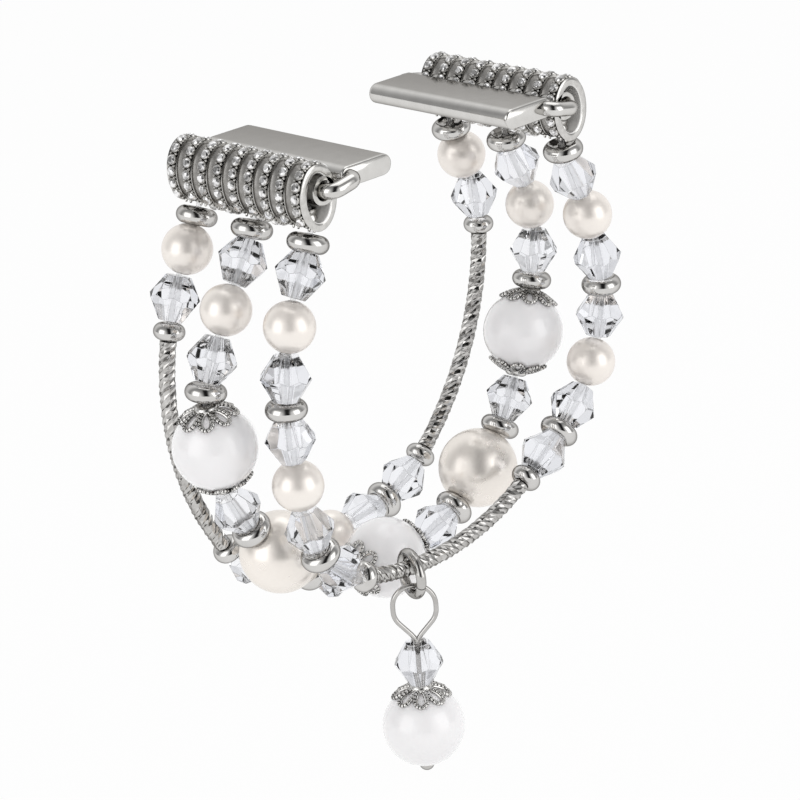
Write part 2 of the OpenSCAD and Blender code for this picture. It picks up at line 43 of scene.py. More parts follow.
# a strand's heading, in degrees from level, at shares of its length
FAR_LEAN = [(0, -103), (0.017, -103), (0.018, -116), (0.13, -94), (0.25, -74), (0.36, -50), (0.45, 5),
            (0.55, 8), (0.64, 40), (0.87, 78), (0.982, 115), (0.983, 94), (1, 94)]
MID_LEAN = [(0, -124), (0.017, -124), (0.018, -142), (0.12, -135), (0.25, -76), (0.38, -45), (0.5, 0),
            (0.62, 40), (0.75, 77), (0.85, 85), (0.92, 114), (0.982, 142), (0.983, 115), (1, 115)]
NEAR_LEAN = [(0, -111), (0.017, -111), (0.018, -124), (0.08, -107), (0.18, -89), (0.3, -74), (0.38, -18),
             (0.42, -10), (0.58, 25), (0.7, 39), (0.85, 95), (0.982, 120), (0.983, 100), (1, 100)]
PEARL_D, BIG_PEARL_D, BALL_D, BORE = 7, 11.5, 11.6, 1.2
CRYSTAL_D, CRYSTAL_LEN, CRYSTAL_END, CRYSTAL_TWIST, SIDES = 7, 6.2, 3.3, 13, 8
SPACER_D, SPACER_LEN, DISH_D, DISH, NEST = 5.7, 2.5, 4, 0.5, 0.36
SMALL_D, SMALL_LEN = 4.4, 2.4
CAP_WALL, CAP_PLAY, CAP_COLLAR, COLLAR_D, PETALS = 0.5, 0.05, 0.2, 3, 8
TUBE_D, TUBE_BORE, FAR_TUBE, NEAR_TUBE = 2.35, 1.3, 33.2, 31
CORD_D, CRIMP_D, CRIMP_LEN, CORD_TAIL, CRIMP_PLAY = 0.8, 2.2, 1.6, 0.3, 0.02
BAIL_LEN, BAIL_W, BAIL_H, RIB_RISE, BAIL_WALL, RIB_W = 26.5, 6.4, 9, 0.45, 0.7, 1.7
STONE_ROWS, ROW_PITCH, STONES_ROUND, STONE_D, STONE_TABLE = 9, 3.05, 15, 1.3, 0.75
HINGE_PLAY, BARREL_WALL, BARREL_RISE, BARREL_IN = 0.08, 0.87, 0.7, 1.05
BOW_D, BOW_BEND, BOW_GAP = 2.1, 1.3, 0.3
SLIDER_W, SLIDER_T, SLIDER_LEN, SLIDER_SPAN, SOCKET_IN, SOCKET_DEPTH = 9.1, 2.9, 27, 40, 1.4, 2
CHARM_PLACE, RING_IN, RING_WIRE, RING_TURN, CHARM_GAP = 0.25, 4.5, 1.4, -18, 0.12
PIN_WIRE, EYE_W, EYE_SIDE, EYE_DROP, KNOT_D, EYE_TURN, HEAD_D, PIN_GAP = 0.7, 6.7, 0.7, 4.3, 1, -42, 2.2, 0.1

# ---------------------------------------------------------------- sizes of the trim, in mm and degrees
CRYSTAL_BEVEL = 0.045  # width of the band along a crystal's edge
FLUTES, FLUTE_LAY, FLUTE_DEEP, NICK_DEEP = 8, 8.4, 0.15, 0.11  # a flute goes round once in FLUTE_LAY
PETAL_MID, PETAL_HALF = 26, 15.5  # a petal's middle and half length, from the ball's pole
MILLED_R, MILLED_UP, PLAIN_R, PLAIN_UP = 0.24, 0.26, 0.14, 0.15  # a petal's wires and their heights
NOTCH_EVERY = 4  # one step in four of a milled wire is a notch
RING_SEAM, SEAM_GAP = 200, 0.8  # where the jump ring is split, and half of the gap there
LEG_GAP = 0.3  # from the eye pin's axis to each leg's end
BOW_EASE, CHARM_EASE = 0.005, 0.004  # keeps a round piece inside the CAD box

CAP_T = CAP_PLAY + CAP_WALL + CAP_COLLAR
MM = 0.001  # metres in a millimetre
TAU = 2 * math.pi
R = math.radians


# ---------------------------------------------------------------- how the strands hang, as in the source
def lookup(x, table):
    """The value at x in a table of [x, value] pairs, straight between its rows."""
    for (x0, y0), (x1, y1) in zip(table, table[1:]):
        if x <= x1:
            return y0 + (y1 - y0) * (x - x0) / (x1 - x0)
    return table[-1][1]


def mirrored(half, middle):
    return half + [middle] + half[::-1]


LENGTHS = {"pearl": PEARL_D, "big_pearl": BIG_PEARL_D, "ball": BALL_D + 2 * CAP_T, "crystal": CRYSTAL_LEN,
           "spacer": SPACER_LEN, "small": SMALL_LEN}
FLATS = {"crystal": CRYSTAL_END / 2, "ball": COLLAR_D / 2, "spacer": (SPACER_D - SPACER_LEN) / 2,
         "small": (SMALL_D - SMALL_LEN) / 2, "tube": TUBE_D / 2}
ROUNDS = {"pearl": PEARL_D / 2, "big_pearl": BIG_PEARL_D / 2, "spacer": SPACER_LEN / 2,
          "small": SMALL_LEN / 2}


def setback(kind, other, a):
    """From the cord's joint to the bead's hole, where the cord bends by 2 * a beside the other bead."""
    nest = NEST / 2 if "spacer" in (kind, other) and other != "bail" else 0
    return (BEAD_GAP / 2 + FLATS.get(kind, 0) * math.tan(R(a))
            + ROUNDS.get(kind, 0) * (1 / math.cos(R(a)) - 1) - nest)


def along(a, d=1.0):
    """A step of length d in the strand's plane, a degrees from level."""
    return Vector((math.cos(R(a)) * d, math.sin(R(a)) * d))


def chord(length, a0, a1):
    """The step from end to end of an arc of this length that turns from a0 to a1."""
    if abs(a1 - a0) < 0.5:
        return along(a0, length)
    r = length * 180 / (math.pi * (a1 - a0))
    return Vector((math.sin(R(a1)) - math.sin(R(a0)), math.cos(R(a0)) - math.cos(R(a1)))) * r


def walk(beads, lean, tube, belly, turn=0.0, start=(0, 0)):
    """Lays the beads one after another, each leaning as the table says, times belly."""
    ls = [tube if b == "tube" else LENGTHS[b] for b in beads]
    total, s, angles = sum(ls), 0.0, []
    for b, length in zip(beads, ls):
        if b == "tube":
            angles.append((turn + belly * lookup(s / total, lean),
                           turn + belly * lookup((s + length) / total, lean)))
        else:
            m = turn + belly * lookup((s + length / 2) / total, lean)
            angles.append((m, m))
        s += length
    p, out, n = Vector(start), [], len(beads)
    for i, (b, length, (a0, a1)) in enumerate(zip(beads, ls, angles)):
        before = abs(a0 - (-90 if i == 0 else angles[i - 1][1])) / 2
        after = abs(a1 - (90 if i == n - 1 else angles[i + 1][0])) / 2
        entry = p + along(a0, setback(b, "bail" if i == 0 else beads[i - 1], before))
        leave = entry + chord(length, a0, a1)
        nxt = leave + along(a1, setback(b, "bail" if i == n - 1 else beads[i + 1], after))
        out.append({"kind": b, "entry": entry, "a0": a0, "exit": leave, "a1": a1, "end": nxt})
        p = nxt
    return out


def hang(beads, lean, tube):
    """Finds the belly at which the strand reaches from bail to bail, and lays it there."""
    lo, hi = 0.6, 1.5
    for _ in range(26):
        m = (lo + hi) / 2
        if walk(beads, lean, tube, m)[-1]["end"].length > BAIL_SPAN:
            lo = m
        else:
            hi = m
    m = (lo + hi) / 2
    e = walk(beads, lean, tube, m)[-1]["end"]
    return walk(beads, lean, tube, m, -math.degrees(math.atan2(e.y, e.x)), (-BAIL_SPAN / 2, -HANG_DROP))


FAR = hang(mirrored(["spacer", "pearl", "crystal", "small", "tube", "small", "crystal", "spacer", "crystal"],
                    "pearl"), FAR_LEAN, FAR_TUBE)
MID = hang(mirrored(["spacer", "crystal", "pearl", "crystal", "spacer", "ball", "crystal", "spacer",
                     "big_pearl", "spacer", "crystal"], "ball"), MID_LEAN, FAR_TUBE)
NEAR = hang(mirrored(["spacer", "crystal", "pearl", "crystal", "spacer", "crystal", "pearl", "crystal",
                      "spacer", "crystal", "small"], "tube"), NEAR_LEAN, NEAR_TUBE)
STRANDS = {"far": (FAR, STRAND_PITCH, FAR_TUBE), "mid": (MID, 0, FAR_TUBE),
           "near": (NEAR, -STRAND_PITCH, NEAR_TUBE)}


def at_depth(q, y):
    """A point of a strand's plane, with that plane at y."""
    return Vector((q.x, y, q.y))


def bent(bead, y, length, n):
    """n + 1 points along a curved tube."""
    a0, a1 = bead["a0"], bead["a1"]
    return [at_depth(bead["entry"] + chord(length * k / n, a0, a0 + (a1 - a0) * k / n), y)
            for k in range(n + 1)]


# ---------------------------------------------------------------- meshes
class Shape:
    """Points in mm, faces and each face's material, gathered before they become one object."""

    def __init__(self):
        self.v, self.f, self.m = [], [], []

    def add(self, part, place=None, mat=0):
        """mat is one material's number, or a list with one for each face."""
        verts, faces = part
        k = len(self.v)
        self.v += [place @ Vector(p) if place is not None else Vector(p) for p in verts]
        self.f += [tuple(k + i for i in f) for f in faces]
        self.m += list(mat) if isinstance(mat, list) else [mat] * len(faces)
        return self


def circle(r, n=16):
    return [(r * math.cos(TAU * k / n), r * math.sin(TAU * k / n)) for k in range(n)]


def lathe(profile, n=48, closed=True):
    """Turns (radius, z) points round Z. A point on the axis makes a fan."""
    verts, ring = [], []
    for r, z in profile:
        if r < 1e-6:
            ring.append([len(verts)])
            verts.append((0, 0, z))
        else:
            ring.append(list(range(len(verts), len(verts) + n)))
            verts += [(x, y, z) for x, y in circle(r, n)]
    faces, pairs = [], list(zip(ring, ring[1:]))
    if closed:
        pairs.append((ring[-1], ring[0]))
    for a, b in pairs:
        if len(a) == 1 and len(b) == 1:
            continue
        for k in range(n):
            j = (k + 1) % n
            if len(a) == 1:
                faces.append((a[0], b[k], b[j]))
            elif len(b) == 1:
                faces.append((a[k], b[0], a[j]))
            else:
                faces.append((a[k], b[k], b[j], a[j]))
    return verts, faces


def sweep(path, section, closed=False, side=None):
    """Carries section(i), a list of (u, v) points, along a path. u runs along side, v across it."""
    n, verts, m = len(path), [], 0
    u = Vector(side) if side else None
    for i, p in enumerate(path):
        a = path[i - 1] if (i or closed) else p
        b = path[(i + 1) % n] if (i < n - 1 or closed) else p
        t = (b - a).normalized()
        if u is None:
            u = t.orthogonal()
        u = (u - t * u.dot(t)).normalized()
        w = t.cross(u)
        pts = section(i)
        m = len(pts)
        verts += [p + u * x + w * y for x, y in pts]
    faces = []
    for i in range(n if closed else n - 1):
        j = (i + 1) % n
        for k in range(m):
            q = (k + 1) % m
            faces.append((i * m + k, i * m + q, j * m + q, j * m + k))
    if not closed:
        faces += [tuple(range(m))[::-1], tuple(range((n - 1) * m, n * m))]
    return verts, faces


def arc(cx, cz, r, a0, a1, n):
    """n steps of a circle round (cx, cz), from a0 to a1 degrees."""
    return [(cx + r * math.cos(R(a0 + (a1 - a0) * k / n)), cz + r * math.sin(R(a0 + (a1 - a0) * k / n)))
            for k in range(n + 1)]


def facing(a, x, y, z, spin=0.0):
    """Puts a piece made round Z at (x, y, z), with Z along the heading a in the XZ plane."""
    c, s = math.cos(R(a)), math.sin(R(a))
    upright = Matrix(((s, 0, c, x), (0, 1, 0, y), (-c, 0, s, z), (0, 0, 0, 1)))
    return upright @ Matrix.Rotation(R(spin), 4, "Z")


def moved(x, y, z, turn=0.0):
    """Puts a piece made round Z at (x, y, z), upright and turned about Z."""
    return Matrix.Translation((x, y, z)) @ Matrix.Rotation(R(turn), 4, "Z")


def piece(name, body, shape, mats, nodes, sharp=35):
    """Makes one piece. Edges over sharp degrees are hard, and with 0 every face is flat."""
    mesh = bpy.data.meshes.new(name)
    bm = bmesh.new()
    vs = [bm.verts.new(p * MM) for p in shape.v]
    bm.verts.ensure_lookup_table()
    for f, m in zip(shape.f, shape.m):
        face = bm.faces.new([vs[i] for i in f])
        face.material_index = m
        face.smooth = sharp > 0
    bmesh.ops.recalc_face_normals(bm, faces=bm.faces)
    bm.to_mesh(mesh)
    bm.free()
    for m in mats:
        mesh.materials.append(m)
    if sharp:
        mesh.set_sharp_from_angle(angle=R(sharp))
    o = bpy.data.objects.new(name, mesh)
    bpy.context.scene.collection.objects.link(o)
    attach(o, body)
    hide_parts(*nodes)
    return o


# ---------------------------------------------------------------- materials
class Nodes:
    """Makes nodes in a tree. A value that is a socket is linked, and any other is set."""

    def __init__(self, tree):
        self.t = tree

    def new(self, kind, values=None, **props):
        n = self.t.nodes.new(kind)
        for k, v in props.items():
            setattr(n, k, v)
        for k, v in (values or {}).items():
            if isinstance(v, bpy.types.NodeSocket):
                self.t.links.new(v, n.inputs[k])
            else:
                n.inputs[k].default_value = v
        return n

    def math(self, op, a, b):
        return self.new("ShaderNodeMath", {0: a, 1: b}, operation=op).outputs[0]


def material(name, color, rough=0.3, metallic=0.0, **sockets):
    """A Principled material, its Nodes and its shader. sockets sets the shader's other inputs."""
    m = bpy.data.materials.new(name)
    m.use_nodes = True
    t = m.node_tree
    t.nodes.clear()
    n = Nodes(t)
    shader = n.new("ShaderNodeBsdfPrincipled")
    out = n.new("ShaderNodeOutputMaterial")
    n.surface = out.inputs["Surface"]
    t.links.new(shader.outputs[0], n.surface)
    shader.inputs["Base Color"].default_value = (*color, 1)
    shader.inputs["Roughness"].default_value = rough
    shader.inputs["Metallic"].default_value = metallic
    for k, v in sockets.items():
        shader.inputs[k.replace("_", " ")].default_value = v
    m.diffuse_color = (*color, 1)
    return m, n, shader


def noise(n, scale, detail=3.0, rough=0.5):
    """Noise over the piece, scale in bumps per mm."""
    at = n.new("ShaderNodeTexCoord")
    return n.new("ShaderNodeTexNoise", {"Vector": at.outputs["Object"], "Scale": scale / MM, "Detail": detail,
                                        "Roughness": rough}).outputs["Fac"]


def painted_rim_mask(n, blend_by):
    """0 where a surface faces the eye and 1 where it turns away: the mask that paints a rim's shade, and on
    cat's-eye glass a rim's lighter sheen, into the base colour.
    """
    return n.new("ShaderNodeLayerWeight", {"Blend": blend_by}).outputs["Facing"]


def spread(n, value, lo, hi, a=0.3, b=0.7):
    """Maps a value from a..b to lo..hi. Noise lies mostly between 0.3 and 0.7."""
    return n.new("ShaderNodeMapRange", {"Value": value, "From Min": a, "From Max": b,
                                        "To Min": lo, "To Max": hi}).outputs[0]


def blend(n, fac, a, b):
    """A colour from a to b. Each is a colour or a socket."""
    mix = n.new("ShaderNodeMix", data_type="RGBA")
    n.t.links.new(fac, mix.inputs[0])
    for socket, value in ((mix.inputs[6], a), (mix.inputs[7], b)):
        if isinstance(value, bpy.types.NodeSocket):
            n.t.links.new(value, socket)
        else:
            socket.default_value = (*value, 1)
    return mix.outputs[2]


def bumped(n, shader, height, strength, mm):
    b = n.new("ShaderNodeBump", {"Height": height, "Strength": strength, "Distance": mm * MM})
    n.t.links.new(b.outputs[0], shader.inputs["Normal"])


def metal(name, bright, dull, lo, hi, grain=0.6, bump=0.02, rim=0.45, metallic=1.0):
    """Plated metal: colour and polish (lo to hi) vary a little, with a fine ripple. A darker rim, rim times
    dull, is painted into the colour where the surface turns from the eye: painted shade.
    """
    m, n, s = material(name, bright, lo, metallic, Specular_Tint=(0.45, 0.44, 0.43, 1))
    edge = painted_rim_mask(n, 0.5)
    plate = blend(n, spread(n, noise(n, grain, 4), 0, 1), bright, dull)
    # painted shade: the base colour darkens towards rim times dull where the surface turns from the eye
    n.t.links.new(blend(n, spread(n, edge, 0, 1, 0.45, 1.0), plate, tuple(rim * c for c in dull)),
                  s.inputs["Base Color"])
    n.t.links.new(spread(n, noise(n, grain * 4, 3), lo, hi), s.inputs["Roughness"])
    bumped(n, s, noise(n, 1.1, 2), 0.25, bump)
    return m


silver = metal("polished_silver", (0.66, 0.65, 0.635), (0.61, 0.60, 0.585), 0.07, 0.12, 0.6, 0.01)
wire_metal = metal("drawn_wire", (0.56, 0.55, 0.535), (0.48, 0.47, 0.455), 0.08, 0.14, 0.8, 0.006)
nickel = metal("polished_nickel", (0.70, 0.69, 0.67), (0.64, 0.63, 0.61), 0.09, 0.15, 0.6, 0.006, 0.8)
cast = metal("cast_silver", (0.70, 0.69, 0.67), (0.56, 0.55, 0.53), 0.12, 0.24, 1.2, 0.04)
# pale and only partly metallic: painted light for the bail's inside wall
painted_light_inside = metal("inner_wall_painted_light", (0.93, 0.92, 0.90), (0.86, 0.85, 0.83), 0.4, 0.5, 0.8, 0.01, metallic=0.3)
channel = metal("brushed_channel", (0.43, 0.42, 0.405), (0.35, 0.34, 0.325), 0.30, 0.44, 1.5, 0.03)
# near-black, for painted shade: the bands round the bail's stone collars and the notches of the petal wires
shade = metal("painted_shade_seat", (0.07, 0.067, 0.064), (0.035, 0.034, 0.033), 0.35, 0.5, 2.0, 0.03)
cut = metal("diamond_cut_silver", (0.66, 0.65, 0.635), (0.42, 0.41, 0.395), 0.05, 0.12, 1.0)
# near-black facets for the cut tubes: painted dark reflection
painted_dark_reflection = metal("tube_facet_painted_reflection", (0.17, 0.165, 0.16), (0.08, 0.078, 0.075), 0.12, 0.25, 1.0)
milled = metal("milled_wire", (0.80, 0.79, 0.77), (0.68, 0.67, 0.65), 0.16, 0.28, 2.0, 0.02)


def pearl_coat(name, lit, painted_rim_shade, lustre, lo, hi):
    """Nacre over a bead: a soft metallic glow under a clear coat. A warmer, darker rim is painted into the
    colour where it turns from the eye: painted shade.
    """
    m, n, s = material(name, lit, lo, lustre, Coat_Weight=0.5, Coat_Roughness=0.2, Coat_IOR=1.45)
    edge = painted_rim_mask(n, 0.4)
    tint = blend(n, spread(n, noise(n, 0.1, 1), 0, 1), lit, (lit[0] * 0.99, lit[1] * 0.975, lit[2] * 0.97))
    # painted shade: the base colour turns to the darker rim colour where the surface turns from the eye
    n.t.links.new(blend(n, spread(n, edge, 0, 1, 0.35, 1.0), tint, painted_rim_shade), s.inputs["Base Color"])
    n.t.links.new(spread(n, noise(n, 0.4, 2), lo, hi), s.inputs["Roughness"])
    bumped(n, s, noise(n, 1.5, 2), 0.05, 0.002)
    return m


pearl_mat = pearl_coat("cream_pearl", (0.965, 0.915, 0.86), (0.79, 0.715, 0.645), 0.44, 0.29, 0.34)
big_pearl_mat = pearl_coat("cream_pearl_large", (0.97, 0.92, 0.86), (0.76, 0.69, 0.61), 0.55, 0.27, 0.29)


def milky():
    """Cat's-eye glass: milk white, faintly pink in its depth, under a clear polish, with a lighter rim
    painted in as sheen.
    """
    m, n, s = material("cats_eye_glass", (0.94, 0.925, 0.93), 0.22, 0.0, Coat_Weight=1.0, Coat_Roughness=0.08,
                       Coat_IOR=1.5, Subsurface_Weight=0.3, Subsurface_Scale=0.002)
    s.inputs["Subsurface Radius"].default_value = (1.0, 0.95, 0.95)
    edge = painted_rim_mask(n, 0.35)
    cloud = blend(n, spread(n, noise(n, 0.12, 1), 0, 1), (0.94, 0.918, 0.935), (0.955, 0.942, 0.95))
    # painted sheen: the base colour turns a lighter white where the surface turns from the eye
    n.t.links.new(blend(n, spread(n, edge, 0, 1, 0.45, 1.0), cloud, (0.97, 0.965, 0.97)),
                  s.inputs["Base Color"])
    n.t.links.new(spread(n, noise(n, 0.5, 2), 0.18, 0.26), s.inputs["Roughness"])
    bumped(n, s, noise(n, 1.4, 2), 0.05, 0.01)
    return m


milk = milky()


def crystal_glass(name, keep=1.0):
    """Clear cut glass. Facets that lean away from the eye carry a cool grey painted into the colour: painted
    shade. keep darkens its body, which on the edge bands is painted shade too.
    """
    m, n, s = material(name, (0.985, 0.985, 0.995), 0.0, 0.0, Transmission_Weight=1.0, IOR=1.5)
    edge = painted_rim_mask(n, 0.5)
    clear = blend(n, spread(n, noise(n, 0.09, 1), 0, 1), (0.945 * keep, 0.952 * keep, 0.975 * keep),
                  (0.89 * keep, 0.90 * keep, 0.94 * keep))
    # painted shade: a cool grey on facets that turn from the eye
    n.t.links.new(blend(n, spread(n, edge, 0, 1, 0.2, 0.8), clear, (0.60, 0.615, 0.66)),
                  s.inputs["Base Color"])
    n.t.links.new(spread(n, noise(n, 1.0, 2), 0.0, 0.02), s.inputs["Roughness"])
    return m


def frosted():
    """The drilled bore and the ends: ground glass, so they glow white."""
    m, n, s = material("frosted_bore", (0.98, 0.98, 0.985), 0.3, 0.0, Transmission_Weight=1.0, IOR=1.03)
    n.t.links.new(blend(n, spread(n, noise(n, 1.6, 2), 0, 1), (1.0, 1.0, 1.0), (0.95, 0.95, 0.955)),
                  s.inputs["Base Color"])
    n.t.links.new(spread(n, noise(n, 3.0, 3), 0.2, 0.4), s.inputs["Roughness"])
    return m


def elastic():
    """Clear elastic, a little cloudy."""
    m, n, s = material("clear_elastic", (0.98, 0.98, 0.98), 0.3, 0.0, Transmission_Weight=0.85, IOR=1.12)
    n.t.links.new(spread(n, noise(n, 2.0, 2), 0.25, 0.4), s.inputs["Roughness"])
    return m


def rhinestone():
    """A stone over foil: bright, with dark patches spread at random by noise as painted reflection."""
    m, n, s = material("foiled_stone", (0.93, 0.94, 0.96), 0.03, 0.9, Coat_Weight=1.0, Coat_Roughness=0.02,
                       Coat_IOR=1.6)
    # painted reflection: noise picks the dark patches in the stones' colour
    foil = spread(n, noise(n, 1.1, 2), 0, 1, 0.44, 0.56)
    n.t.links.new(blend(n, foil, (0.95, 0.945, 0.95), (0.38, 0.375, 0.37)), s.inputs["Base Color"])
    return m


# the edge bands' material is the clear glass darkened to 0.55: painted shade along the crystals' edges
crystal_mats = [crystal_glass("clear_crystal"), frosted(), crystal_glass("crystal_edges_painted_shade", 0.55)]
cord_mat, stone_mat = elastic(), rhinestone()


# ---------------------------------------------------------------- beads, each made round Z
def round_bead(d, n, steps):
    """A ball with a bored hole, its mouths eased."""
    r, b, lip = d / 2, BORE / 2, 0.12
    a = math.degrees(math.asin((b + lip) / r))
    outer = [(r * math.sin(R(a + (180 - 2 * a) * k / steps)), r * math.cos(R(a + (180 - 2 * a) * k / steps)))
             for k in range(steps + 1)]
    top = outer[0][1]
    lip_top = [(b, top - 0.14), (b + 0.02, top - 0.06), (b + 0.06, top - 0.015)]
    return lathe(lip_top + outer + [(p, -z) for p, z in lip_top[::-1]] + [(b, 0)], n)


def spacer_bead(d, length, dish):
    """A ring with a round bulge and a shallow dish in each face."""
    r, core, b = length / 2, (d - length) / 2, BORE / 2
    rim = dish / 2
    a = math.degrees(math.acos((rim - core) / r))
    bulge = arc(core, 0, r, a, -a, 30)
    z = bulge[0][1]
    cup = [(b, z - DISH - 0.02), (b + 0.1, z - DISH + 0.02), (rim * 0.62, z - DISH * 0.9),
           (rim * 0.82, z - DISH * 0.62), (rim * 0.93, z - DISH * 0.28), (rim - 0.05, z - 0.06)]
    return lathe(cup + bulge + [(p, -q) for p, q in cup[::-1]], 56)


def cut_solid(planes):
    """The corners and faces of the convex solid behind some planes, each a normal and a distance out."""
    found, _ = points_in_planes([(*n, -d) for n, d in planes], 1e-4, 1e-6)
    corners = []
    for q in sorted((round(q.x, 6), round(q.y, 6), round(q.z, 6)) for q in found):
        if all((Vector(q) - c).length > 2e-5 for c in corners):
            corners.append(Vector(q))
    faces = []
    for n, d in planes:
        on = [i for i, c in enumerate(corners) if abs(n.dot(c) - d) < 1e-5]
        middle = sum((corners[i] for i in on), Vector()) / len(on)
        u = (corners[on[0]] - middle).normalized()
        v = n.cross(u)
        turn = {i: math.atan2((corners[i] - middle).dot(v), (corners[i] - middle).dot(u)) for i in on}
        faces.append(sorted(on, key=turn.get))
    return corners, faces


def bored_end(corners, face, up):
    """The flat end of a crystal, as triangles between its rim and the mouth of the hole, and that mouth."""
    n = 16
    first = len(corners)
    corners += [Vector((x, y, up)) for x, y in circle(BORE / 2, n)]

    def around(i):
        return math.atan2(corners[i].y, corners[i].x) % TAU

    rim = sorted(face, key=around)
    mouth = list(range(first, first + n))
    made, i, j = [], 0, 0
    while i < len(rim) or j < n:
        next_rim = around(rim[(i + 1) % len(rim)]) + (TAU if i + 1 >= len(rim) else 0)
        next_mouth = around(mouth[(j + 1) % n]) + (TAU if j + 1 >= n else 0)
        if j >= n or (i < len(rim) and next_rim <= next_mouth):
            made.append((rim[i % len(rim)], rim[(i + 1) % len(rim)], mouth[j % n]))
            i += 1
        else:
            made.append((rim[i % len(rim)], mouth[(j + 1) % n], mouth[j % n]))
            j += 1
    return [f if up > 0 else f[::-1] for f in made], mouth


def crystal_bead():
    """A bicone cut with two rows of facets, the lower row half a facet round, and a bored hole."""
    waist = CRYSTAL_D / 2 * math.cos(math.pi / SIDES) * 1.03
    end, h = CRYSTAL_END / 2 * 0.98, CRYSTAL_LEN / 2
    slope = (waist - end) / h
    planes = [(Vector((0, 0, 1)), h), (Vector((0, 0, -1)), h)]
    for s in (1, -1):
        for k in range(SIDES):
            a = TAU * (k + (0 if s > 0 else 0.5)) / SIDES
            n = Vector((math.cos(a), math.sin(a), slope * s))
            planes.append((n.normalized(), waist / n.length))
    corners, faces = cut_solid(planes)
    facets = len(planes)
    for i in range(facets):
        for j in range(i + 1, facets):
            shared = [c for c in faces[i] if c in faces[j]]
            if len(shared) == 2:
                m = (planes[i][0] + planes[j][0]).normalized()
                lean = planes[i][0].angle(planes[j][0])
                planes.append((m, m.dot(corners[shared[0]]) - CRYSTAL_BEVEL * math.sin(lean / 2)))
    corners, faces = cut_solid(planes)
    top, upper = bored_end(corners, faces[0], h)
    bottom, lower = bored_end(corners, faces[1], -h)
    n = len(upper)
    bore = [(upper[k], upper[(k + 1) % n], lower[(k + 1) % n], lower[k]) for k in range(n)]
    # 0 a facet, 1 a ground end or the bore, 2 the narrow band along an edge, which takes a darker colour as
    # painted shade
    kinds = [0] * (facets - 2) + [2] * (len(planes) - facets) + [1] * len(top + bottom + bore)
    return (corners, faces[2:] + top + bottom + bore), kinds


CRYSTAL, CRYSTAL_KINDS = crystal_bead()


def crystal_at(place):
    return Shape().add(CRYSTAL, place, CRYSTAL_KINDS)


def petal_wire(r, wide, reach, shift, n):
    """The loop of a petal's wire, n points at the distance r from the ball's centre."""
    path = []
    for k in range(n):
        t = TAU * k / n
        q = R(PETAL_MID + PETAL_HALF * reach * -math.cos(t) + shift)
        fat = math.sin(t) * (0.86 + 0.32 * -math.cos(t)) * wide * 1.04
        lon = fat / max(r * math.sin(q), 0.3)
        path.append(Vector((r * math.sin(q) * math.cos(lon), r * math.sin(q) * math.sin(lon),
                            r * math.cos(q))))
    return path


def add_cap(shape, place):
    """A bead cap: a collar and eight petals, each a loop of milled wire with a plain wire inside it."""
    r = BALL_D / 2 + CAP_PLAY
    top = r + CAP_WALL + CAP_COLLAR
    c, b = COLLAR_D / 2, BORE / 2
    z0 = math.sqrt(r * r - c * c)
    shape.add(lathe([(b, r + 0.03), (b, top - 0.05), (b + 0.08, top), (c - 0.25, top - 0.02),
                     (c - 0.05, top - 0.16), (c + 0.12, z0 + 0.42), (c + 0.1, z0 + 0.1),
                     (c - 0.05, z0 + 0.02), (c - 0.6, r)], 40), place)
    steps = 72
    notched = [k % NOTCH_EVERY == NOTCH_EVERY - 1 for k in range(steps)]
    milled_loop = sweep(petal_wire(r + MILLED_UP, 1.0, 1.0, 0, steps),
                        lambda k: circle(MILLED_R * (0.8 if notched[k] else 1.06), 8), closed=True)
    plain_loop = sweep(petal_wire(r + PLAIN_UP, 0.6, 0.78, 1.2, 40), lambda k: circle(PLAIN_R, 6),
                       closed=True)
    for i in range(PETALS):
        turned = place @ Matrix.Rotation(TAU * i / PETALS, 4, "Z")
        # the notched steps take the near-black material: painted shade in the notches
        shape.add(milled_loop, turned, [int(dark) for dark in notched for _ in range(8)])
        shape.add(plain_loop, turned)
    return shape


def cut_tube(bead, y, length):
    """A curved tube with diamond-cut flutes that climb round it, crossed by nicks, over a plain bore."""
    n, m = int(length * 2 * FLUTES / FLUTE_LAY), 2 * FLUTES
    path = bent(bead, y, length, n)

    def depth(i, k):
        """The odd lines of a ring lie in flutes. The even ones are ridges, with nicks across them."""
        if not 1 < i < n - 1:
            return 0.0
        if k % 2:
            return FLUTE_DEEP
        return NICK_DEEP if (i + 3 * (k // 2)) % 4 == 0 else 0.0

    def ring(i, radii):
        turns = [math.pi * k / FLUTES + TAU * (length * i / n) / FLUTE_LAY for k in range(m)]
        return [(r * math.cos(t), r * math.sin(t)) for r, t in zip(radii, turns)]

    outer, walls = sweep(path, lambda i: ring(i, [TUBE_D / 2 - depth(i, k) for k in range(m)]),
                         side=(0, 1, 0))
    inner, _ = sweep(path, lambda i: ring(i, [TUBE_BORE / 2] * m), side=(0, 1, 0))
    walls, faces = walls[:-2], []
    for a, b, c, d in walls:
        faces += [(a, b, c), (a, c, d)] if (a // m + a) % 2 else [(a, b, d), (b, c, d)]
    # the outside's facets: a few of them, spread by a step that no flute repeats, take a near-black colour as
    # painted reflection
    dark = [int(i % 17 == 4) for i in range(len(faces))]
    off, last = len(outer), n * m
    faces += [(off + a, off + d, off + c, off + b) for a, b, c, d in walls]
    for k in range(m):
        q = (k + 1) % m
        faces += [(k, q, off + q, off + k), (last + k, off + last + k, off + last + q, last + q)]
    return Shape().add((outer + inner, faces), None, dark + [0] * (len(faces) - len(dark)))


def middle(bead, y, spin=0.0):
    """Puts a piece made round Z at a bead's middle, with Z along the hole."""
    c = (bead["entry"] + bead["exit"]) / 2
    return facing(bead["a0"], c.x, y, c.y, spin)


